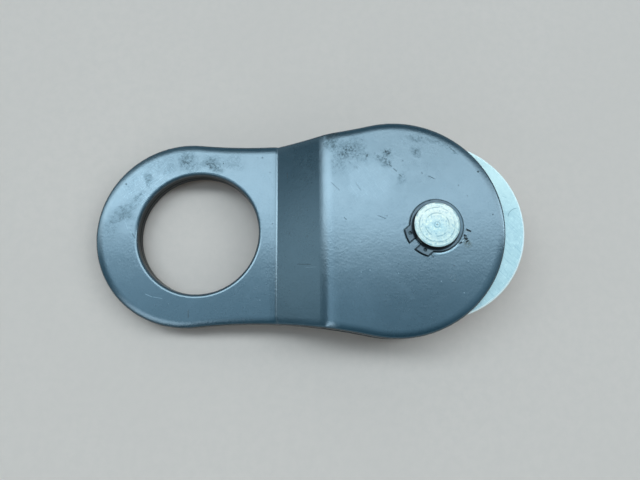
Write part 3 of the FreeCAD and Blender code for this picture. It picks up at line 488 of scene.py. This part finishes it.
# ---------------------------------------------------------------------------
# Zinc plate on the sheave and the pin
# ---------------------------------------------------------------------------
def zinc_sheave(name):
    t = Skin(name)
    x, y, z = t.split()
    flat = t.vmath("MULTIPLY", t.vmath("SUBTRACT", t.coord, (PIN_X * MM, 0, 0)), (1, 1, 0))
    radius = t.vmath("LENGTH", flat)
    grain = t.noise(950, 3, 0.65, seed=3.0)
    cloud = t.noise(75, 4, 0.6, seed=9.0)
    mottle = t.noise(300, 3, 0.6, seed=10.0)
    base = t.mix(t.ramp(cloud, 0.3, 0.7), (0.368, 0.410, 0.388), (0.448, 0.482, 0.448))
    base = t.mix(t.times(t.ramp(mottle, 0.45, 0.75), 0.55), base, (0.29, 0.35, 0.35))
    # the rim's lip, the band that carries the painted highlight further down
    lip_highlight = t.times(t.ramp(radius, 49.55 * MM, 49.8 * MM), t.ramp(t.math("ABSOLUTE", z), 10.5 * MM, 11.1 * MM))
    drawn = t.most(t.ramp(t.streaks(-48, 9.0, 0.5, seed=61.0), 0.52, 0.66), t.ramp(t.streaks(62, 7.0, 0.4, seed=62.0), 0.56, 0.68))
    base = t.mix(t.times(drawn, t.ramp(cloud, 0.30, 0.55), 0.65), base, (0.24, 0.30, 0.31))
    glint = t.noise(640, 3, 0.75, seed=63.0)
    base = t.mix(t.times(t.ramp(glint, 0.54, 0.70), 0.55), base, (0.58, 0.60, 0.53))
    # painted light: the face painted paler and yellower towards +Y, the side the light comes from
    base = t.mix(t.times(t.ramp(t.plus(y, t.times(t.math("SUBTRACT", cloud, 0.5), 0.03)), 0.0, 0.026), 0.55), base, (0.53, 0.53, 0.46))
    rough = t.plus(0.40, t.times(grain, 0.14), t.times(mottle, 0.08))
    # rope polish at the bottom of the groove, dust on its flanks
    groove = t.ramp(radius, 0.0472, 0.0452)
    bottom = t.times(groove, t.ramp(radius, 0.0415, 0.0392), t.ramp(t.math("ABSOLUTE", z), 0.0062, 0.0040))
    inside = t.times(t.ramp(radius, 0.0492, 0.0482), t.ramp(radius, 0.0372, 0.0376), t.ramp(t.math("ABSOLUTE", z), 0.0108, 0.0098))
    dust = t.times(inside, t.ramp(t.noise(140, 3, 0.65, seed=14.0), 0.35, 0.65))
    base = t.mix(t.times(dust, 0.35), base, (0.22, 0.21, 0.19))
    rough = t.plus(rough, t.times(bottom, -0.22))
    # long fine marks round the face and one curved scratch
    rings = t.noise(700, 2, 0.6, vector=t.join(radius, 0.0, 0.0), seed=1.0)
    base = t.mix(t.times(t.ramp(rings, 0.55, 0.75), 0.14), base, (0.30, 0.36, 0.36))
    top = t.ramp(z, 0.0119, 0.0121)
    scratch = t.times(t.arc(181.8, 5.3, 5.85, 0.30), t.spot(178.0, 9.3, 4.4, 3.6, 40, 0.3), top)
    scratch = t.most(scratch, t.times(t.line(173.1, 18.6, 176.4, 17.1, 0.25), top, 0.6))
    base = t.mix(t.times(scratch, 0.75), base, (0.16, 0.20, 0.20))
    dots = t.times(t.ramp(t.cells(160), 0.07, 0.04), t.ramp(t.noise(60, 2, 0.5, seed=15.0), 0.52, 0.60))
    base = t.mix(t.times(dots, 0.5), base, (0.18, 0.20, 0.20))
    sharp = t.edge(0.0007, 0.01, 0.12)
    # bright worn edges, widened so that they also stand as a painted highlight along the edges
    worn = t.times(sharp, t.ramp(t.noise(260, 3, 0.7, seed=16.0), 0.25, 0.55))
    base = t.mix(t.times(worn, 0.9), base, (0.74, 0.74, 0.70))
    # painted highlight: a pale, less metallic band painted all round the rim's lip
    base = t.mix(t.times(lip_highlight, t.ramp(mottle, 0.25, 0.45, 0.6, 1.0)), base, (0.86, 0.84, 0.78))
    rough = t.plus(rough, t.times(worn, -0.16))
    t.set("Base Color", base)
    t.set("Roughness", rough)
    t.set("Metallic", t.math("SUBTRACT", 0.75, t.times(t.most(worn, lip_highlight), 0.62)))
    normal = t.bump(grain, 0.000035)
    normal = t.bump(rings, 0.000010, normal)
    t.set("Normal", normal)
    return t.material


def zinc_pin(name):
    t = Skin(name)
    x, y, z = t.split()
    flat = t.vmath("MULTIPLY", t.vmath("SUBTRACT", t.coord, (PIN_X * MM, 0, 0)), (1, 1, 0))
    radius = t.vmath("LENGTH", flat)
    grain = t.noise(1100, 3, 0.6, seed=3.0)
    patch = t.noise(170, 3, 0.6, seed=9.5)
    wobble = t.plus(radius, t.times(t.math("SUBTRACT", patch, 0.5), 0.0016))
    face = t.ramp(t.math("ABSOLUTE", z), 0.0219, 0.0221)
    broad = t.noise(95, 2, 0.5, seed=12.5)
    wobble = t.plus(wobble, t.times(t.math("SUBTRACT", broad, 0.5), 0.0075))
    base = t.mix(t.ramp(wobble, 0.0020, 0.0095), (0.400, 0.440, 0.410), (0.475, 0.450, 0.385))
    base = t.mix(t.times(t.ramp(patch, 0.45, 0.72), 0.40), base, (0.31, 0.345, 0.325))
    # painted light: the face painted brighter and yellower towards +Y, the side the light comes from
    painted_light_side = t.times(t.ramp(t.plus(y, t.times(t.math("SUBTRACT", patch, 0.5), 0.008)), -0.004, 0.009), face)
    base = t.mix(t.times(painted_light_side, 0.6), base, (0.68, 0.555, 0.450))
    fleck = t.noise(820, 3, 0.75, seed=13.5)
    base = t.mix(t.times(t.ramp(fleck, 0.53, 0.66), 0.80), base, (0.70, 0.60, 0.42))
    base = t.mix(t.times(t.ramp(fleck, 0.47, 0.34), 0.75), base, (0.17, 0.25, 0.27))
    rings = t.noise(880, 2, 0.65, vector=t.join(radius, 0.0, 0.0), seed=1.0)
    ring_fine = t.noise(2400, 1, 0.5, vector=t.join(radius, 0.0, 0.0), seed=2.0)
    gap = t.ramp(t.noise(230, 2, 0.5, seed=8.0), 0.38, 0.52)
    gap_b = t.ramp(t.noise(260, 2, 0.5, seed=8.6), 0.42, 0.56)
    base = t.mix(t.times(t.ramp(rings, 0.50, 0.62), gap, face, 0.75), base, (0.15, 0.205, 0.21))
    base = t.mix(t.times(t.ramp(rings, 0.46, 0.34), gap_b, face, 0.55), base, (0.56, 0.57, 0.50))
    base = t.mix(t.times(t.ramp(ring_fine, 0.55, 0.7), gap, face, 0.35), base, (0.52, 0.53, 0.47))
    eyelet = t.times(t.most(t.arc(PIN_X, 0, 1.35, 0.30), t.times(t.arc(PIN_X, 0, 2.5, 0.25), 0.6)), face)
    base = t.mix(t.times(eyelet, 0.45), base, (0.26, 0.31, 0.31))
    # the shank is darker between the plates, oily where it runs
    shank = t.ramp(t.math("ABSOLUTE", z), 0.0181, 0.0175)
    base = t.mix(t.times(shank, 0.35), base, (0.22, 0.20, 0.17))
    # painted shade: the pin's side wall above the plates painted nearly black
    wall_shade = t.times(t.ramp(radius, 0.01215, 0.0123), t.math("SUBTRACT", 1.0, shank))
    base = t.mix(t.times(wall_shade, 0.92), base, (0.022, 0.024, 0.024))
    rough = t.plus(0.42, t.times(grain, 0.12), t.times(shank, -0.15))
    sharp = t.edge(0.0006, 0.01, 0.12)
    worn = t.times(sharp, t.ramp(t.noise(300, 3, 0.7, seed=6.0), 0.45, 0.65))
    base = t.mix(t.times(worn, 0.5), base, (0.55, 0.56, 0.53))
    t.set("Base Color", base)
    t.set("Roughness", rough)
    t.shader.inputs["Metallic"].default_value = 0.75
    normal = t.bump(grain, 0.000025)
    normal = t.bump(t.times(rings, face), 0.000030, normal)
    t.set("Normal", normal)
    return t.material


def ring_skin(name, turn):
    """Phosphated spring steel, dirty, with paint carried over from the plate."""
    t = Skin(name)
    grain = t.noise(900, 3, 0.65, seed=6.0)
    cloud = t.noise(150, 4, 0.6, seed=5.0)
    base = t.mix(t.ramp(cloud, 0.3, 0.7), (0.060, 0.068, 0.074), (0.130, 0.135, 0.138))
    base = t.mix(t.times(t.ramp(grain, 0.52, 0.75), 0.5), base, (0.20, 0.20, 0.19))
    over = t.times(t.spot(146.0, 5.0, 9.0, 14.0, 0, 0.5), t.ramp(t.noise(180, 3, 0.6, seed=7.0), 0.25, 0.50))
    base = t.mix(t.times(over, 0.6), base, (0.09, 0.12, 0.135))
    sharp = t.edge(0.0005, 0.01, 0.12)
    worn = t.times(sharp, t.ramp(t.noise(420, 3, 0.7, seed=8.0), 0.50, 0.68))
    base = t.mix(t.times(worn, 0.35), base, (0.26, 0.25, 0.23))
    # painted shade along its outline, and a painted shadow in the corner against the pin, pushed towards -X and -Y
    flat = t.vmath("MULTIPLY", t.vmath("SUBTRACT", t.coord, (PIN_X * MM, 0, 0)), (1, 1, 0))
    shifted = t.vmath("SUBTRACT", flat, (-0.40 * MM, -0.75 * MM, 0.0))
    inner = t.ramp(t.plus(t.vmath("LENGTH", shifted), t.times(cloud, 0.0006)), 13.75 * MM, 13.15 * MM)
    rim = t.ramp(t.ring_gap(turn), -0.55 * MM, -0.15 * MM)
    ring_shade = t.most(inner, rim)
    base = t.mix(t.times(ring_shade, 0.92), base, (0.006, 0.007, 0.008))
    t.set("Base Color", base)
    t.set("Roughness", t.plus(0.30, t.times(grain, 0.16), t.times(cloud, 0.06)))
    t.set("Metallic", t.plus(0.45, t.times(ring_shade, 0.5)))
    t.set("Normal", t.bump(grain, 0.000045))
    return t.material


def plain_metal(name, base_a, base_b, rough, dark, seed):
    """Machined metal: cloudy colour, fine turned lines, oil in patches, bright edges."""
    t = Skin(name)
    cloud = t.noise(130, 4, 0.6, seed=5.0 + seed)
    grain = t.noise(800, 3, 0.6, seed=6.0 + seed)
    flat = t.vmath("MULTIPLY", t.vmath("SUBTRACT", t.coord, (PIN_X * MM, 0, 0)), (1, 1, 0))
    rings = t.noise(1700, 2, 0.6, vector=t.join(t.vmath("LENGTH", flat), 0.0, 0.0), seed=seed)
    base = t.mix(t.ramp(cloud, 0.3, 0.7), base_a, base_b)
    oil = t.ramp(t.noise(90, 3, 0.6, seed=7.0 + seed), 0.50, 0.66)
    base = t.mix(t.times(oil, 0.5), base, dark)
    base = t.mix(t.times(t.ramp(rings, 0.5, 0.75), 0.25), base, dark)
    sharp = t.edge(0.0003, 0.01, 0.12)
    worn = t.times(sharp, t.ramp(t.noise(500, 3, 0.7, seed=8.0 + seed), 0.40, 0.65))
    base = t.mix(t.times(worn, 0.6), base, tuple(min(1.0, c * 1.25) for c in base_b))
    t.set("Base Color", base)
    t.shader.inputs["Metallic"].default_value = 1.0
    t.set("Roughness", t.plus(rough, t.times(grain, 0.15), t.times(oil, -0.08)))
    normal = t.bump(grain, 0.000015)
    t.set("Normal", t.bump(rings, 0.000012, normal))
    return t.material


MATERIALS = {
    "upper_side_plate": paint("paint_upper", 0.0, True),
    "lower_side_plate": paint("paint_lower", 40.0, False),
    "sheave": zinc_sheave("zinc_sheave"),
    "axle_pin": zinc_pin("zinc_pin"),
    "upper_retaining_ring": ring_skin("ring_phosphate_upper", 219.6),
    "lower_retaining_ring": ring_skin("ring_phosphate_lower", 35.0),
    "sheave_bushing": plain_metal("bronze", (0.50, 0.33, 0.16), (0.60, 0.42, 0.22), 0.30, (0.16, 0.10, 0.05), 0.0),
    "upper_thrust_washer": plain_metal("washer_steel", (0.40, 0.40, 0.39), (0.50, 0.50, 0.49), 0.32, (0.12, 0.11, 0.10), 3.0),
    "grease_nipple_body": plain_metal("nipple_zinc", (0.58, 0.55, 0.42), (0.66, 0.63, 0.50), 0.30, (0.20, 0.17, 0.12), 5.0),
    "grease_nipple_ball": plain_metal("ball_steel", (0.55, 0.55, 0.55), (0.62, 0.62, 0.62), 0.14, (0.30, 0.29, 0.28), 7.0),
    "grease_nipple_spring": plain_metal("spring_steel", (0.36, 0.35, 0.33), (0.46, 0.45, 0.43), 0.25, (0.14, 0.13, 0.12), 9.0),
}
MATERIALS["lower_thrust_washer"] = MATERIALS["upper_thrust_washer"]
for name, obj in nodes.items():
    obj.data.materials.clear()
    obj.data.materials.append(MATERIALS[name])

# the nipple's spring: its mesh copied onto its own object on the axle body, the original hidden
coils = bpy.data.objects.new("nipple_spring_coils", nodes["grease_nipple_spring"].data.copy())
scene.collection.objects.link(coils)
coils.matrix_world = nodes["grease_nipple_spring"].matrix_world.copy()
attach(coils, "axle")
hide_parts("grease_nipple_spring")
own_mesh(coils)


# ---------------------------------------------------------------------------
# Floor: the block lies on its lower pin end and its lower plate, so the
# floor under it slopes in the object's own frame.
# ---------------------------------------------------------------------------
def plain(name, colour, rough):
    t = Skin(name)
    speck = t.noise(180, 3, 0.6, seed=11.0)
    cloud = t.noise(9, 3, 0.6, seed=12.0)
    shade = t.mix(t.ramp(speck, 0.3, 0.7), tuple(c * 0.96 for c in colour), colour)
    t.set("Base Color", t.mix(t.times(t.ramp(cloud, 0.35, 0.65), 0.5), shade, tuple(c * 0.95 for c in colour)))
    t.set("Roughness", rough)
    return t.material


slope = math.radians(5.42)
foot = Vector(((PIN_X - 12.5) * MM, 0.0, -22.3 * MM))
bpy.ops.mesh.primitive_plane_add(size=60.0, location=foot)
floor = bpy.context.object
floor.name = "floor"
floor.rotation_euler = (0.0, slope, 0.0)
floor.location = foot
floor.data.materials.append(plain("floor_paper", (0.630, 0.448, 0.368), 0.9))


# ---------------------------------------------------------------------------
# Light: one broad soft window of light beyond the block, a dim warm room
# ---------------------------------------------------------------------------
world = bpy.data.worlds.new("room")
scene.world = world
world.use_nodes = True
room = Tree(world.node_tree, "Generated")
out = room.nodes.new("ShaderNodeOutputWorld")
background = room.nodes.new("ShaderNodeBackground")
room.links.new(background.outputs[0], out.inputs["Surface"])
dx, dy, dz = room.split()
height = room.math("MAXIMUM", dz, 0.03)
ax = room.math("DIVIDE", dx, height)      # tangent of the lean towards +X
ay = room.math("DIVIDE", dy, height)      # tangent of the lean towards +Y
above = room.ramp(dz, 0.03, 0.15)


def patch(cx, cy, rx, ry, inner=0.25):
    """A soft patch of light round a direction, 1 in its middle."""
    u = room.math("DIVIDE", room.math("SUBTRACT", ax, cx), rx)
    v = room.math("DIVIDE", room.math("SUBTRACT", ay, cy), ry)
    away = room.plus(room.times(u, u), room.times(v, v))
    return room.times(room.ramp(away, 1.0, inner), above)


# the main window: its near edge lies farther off towards the left
left = room.math("MAXIMUM", room.math("SUBTRACT", 0.04, ax), 0.0)
near = room.math("SUBTRACT", ay, room.times(left, 0.075))
window = room.times(
    room.ramp(near, 0.125, 0.25), room.ramp(ay, 0.66, 0.36),
    room.ramp(ax, -1.05, -0.70), room.ramp(ax, 3.4, 2.3), above)
tone = room.times(
    room.ramp(ax, -0.45, -0.12, 1.27, 1.0), room.ramp(ax, 0.115, 0.155, 1.0, 0.87),
    room.ramp(ax, 0.24, 0.34, 1.0, 0.90), room.ramp(ax, 0.36, 0.60, 1.0, 0.92), room.ramp(ay, 0.30, 0.42, 1.0, 0.88),
    room.plus(1.0, room.times(room.ramp(ax, 0.62, 0.95), room.ramp(ay, 0.27, 0.36), 1.4)))
# the ceiling nearer than the window, brighter to the left
ceiling = room.times(
    room.ramp(ay, -0.30, -0.01), room.ramp(ay, 0.34, 0.20), room.ramp(ax, -0.66, -0.44),
    room.ramp(ax, 0.78, 0.48), room.ramp(ax, -0.45, 0.15, 1.5, 0.85), above)
lights = [
    room.vmath("SCALE", (0.68, 1.0, 1.21), scale=room.times(window, tone, 6.85)),
    room.vmath("SCALE", (0.55, 1.0, 1.36), scale=ceiling),
    # a lamp low down to the left, seen in the rolled edges
    room.vmath("SCALE", (0.70, 1.0, 1.22), scale=room.times(patch(-0.47, -0.19, 0.31, 0.14), 3.7)),
    # light from beyond the eye end, seen in the ramp
    room.vmath("SCALE", (0.62, 1.0, 1.24), scale=room.times(patch(-1.35, 0.25, 0.60, 0.34, 0.0), room.ramp(ay, 0.0, 0.25, 0.62, 1.0), 1.8)),
]
# the rest of the room, well away from overhead: even light for the sides, except where
# the ramp mirrors it
lean = room.math("SQRT", room.plus(room.times(ax, ax), room.times(ay, ay)))
sides = room.times(room.ramp(lean, 0.90, 1.25), room.ramp(lean, 3.8, 2.4), above)
sides = room.times(sides, room.math("SUBTRACT", 1.0, patch(-1.35, 0.15, 0.62, 0.80, 0.45)))
lights.append(room.vmath("SCALE", (0.74, 1.0, 1.12), scale=room.times(sides, 0.65)))
# the far walls, low down
lights.append(room.vmath("SCALE", (0.80, 1.0, 1.04), scale=room.ramp(dz, 0.32, 0.06, 0.0, 0.30)))
total = room.vmath("SCALE", (0.90, 1.0, 0.98), scale=0.038)
for light in lights:
    total = room.vmath("ADD", total, light)
room.links.new(total, background.inputs["Color"])
background.inputs["Strength"].default_value = 1.0

# ---------------------------------------------------------------------------
# Camera at the photograph's viewing angle
# ---------------------------------------------------------------------------
camera_data = bpy.data.cameras.new("camera")
camera_data.sensor_width = 36.0
camera_data.lens = 520.0 / 640.0 * 36.0
camera_data.clip_start = 0.01
camera = bpy.data.objects.new("camera", camera_data)
scene.collection.objects.link(camera)
camera.location = (75.164 * MM, -60.892 * MM, 297.876 * MM)
camera.rotation_mode = "XYZ"
camera.rotation_euler = (math.radians(10.881), math.radians(1.005), math.radians(-0.418))
scene.camera = camera

scene.view_settings.view_transform = "Standard"
scene.view_settings.look = "None"
scene.view_settings.exposure = 0.0
